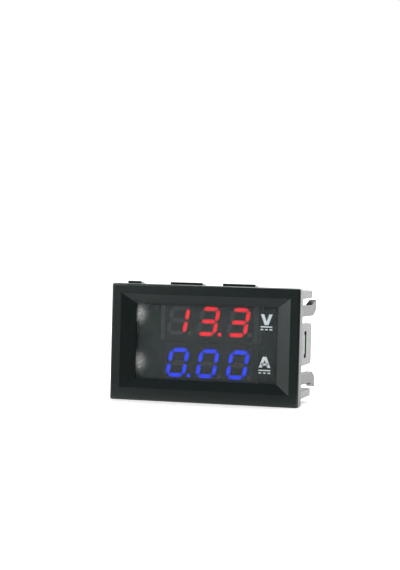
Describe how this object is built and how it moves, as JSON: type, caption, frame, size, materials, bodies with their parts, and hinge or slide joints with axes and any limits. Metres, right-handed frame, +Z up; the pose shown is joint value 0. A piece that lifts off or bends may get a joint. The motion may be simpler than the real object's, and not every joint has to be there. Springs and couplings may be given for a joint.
{
  "type": "digital panel meter",
  "caption": "Snap-in digital panel meter: bevelled black bezel, smoked window, red and blue seven-segment displays, open-backed sleeve with snap tongues and side arms.",
  "frame": {"origin": "centre of the panel cutout, in the plane where the bezel's rear face meets the panel", "axes": "+Y to the back, away from the viewer; +Z up; +X to the right seen from the front"},
  "size_m": [0.048, 0.0203, 0.0295],
  "materials": {
    "housing_plastic": "fine satin moulded plastic",
    "smoked_lens": "polished smoked sheet",
    "board": "green solder mask",
    "display_case": "dark printed face",
    "red_light": "lit resin",
    "blue_light": "lit resin",
    "unlit_segment": "unlit milky resin",
    "tinned_metal": "tinned",
    "solder": "bright solder",
    "chip_resin": "moulded resin",
    "capacitor_resin": "moulded resin",
    "resistor_glaze": "glazed chip",
    "capacitor_ceramic": "ceramic chip",
    "shunt_metal": "bare resistance wire",
    "white_plastic": "natural nylon",
    "trimmer_plastic": "moulded plastic",
    "rotor_metal": "turned metal"
  },
  "bodies": {
    "meter": {"housing": "housing_plastic", "window_lens": "smoked_lens", "main_board": "board", "red_display_case": "display_case", "red_segments_lit": "red_light", "red_segments_dark": "unlit_segment", "red_display_pins": "tinned_metal", "blue_display_case": "display_case", "blue_segments_lit": "blue_light", "blue_segments_dark": "unlit_segment", "blue_display_pins": "tinned_metal", "display_solder": "solder", "microcontroller_body": "chip_resin", "microcontroller_leads": "tinned_metal", "amplifier_body": "chip_resin", "amplifier_leads": "tinned_metal", "regulator_body": "chip_resin", "regulator_leads": "tinned_metal", "diode_body": "chip_resin", "diode_leads": "tinned_metal", "capacitor_bodies": "capacitor_resin", "capacitor_leads": "tinned_metal", "chip_resistors": "resistor_glaze", "chip_capacitors": "capacitor_ceramic", "shunt_wire": "shunt_metal", "shunt_solder": "solder", "supply_header": "white_plastic", "supply_header_pins": "tinned_metal", "measuring_header": "white_plastic", "measuring_header_pins": "tinned_metal", "header_solder": "solder", "volts_trimmer_body": "trimmer_plastic", "amps_trimmer_body": "trimmer_plastic"},
    "volts_rotor": {"volts_trimmer_rotor": "rotor_metal"},
    "amps_rotor": {"amps_trimmer_rotor": "rotor_metal"}
  },
  "joints": [
    {"name": "volts_trim", "type": "hinge", "parent": "meter", "child": "volts_rotor", "pos_m": [-0.0034, 0.0112, -0.00525], "axis": [0, 1, 0], "range_deg": [-130, 130]},
    {"name": "amps_trim", "type": "hinge", "parent": "meter", "child": "amps_rotor", "pos_m": [0.0034, 0.0112, -0.00525], "axis": [0, 1, 0], "range_deg": [-130, 130]}
  ]
}
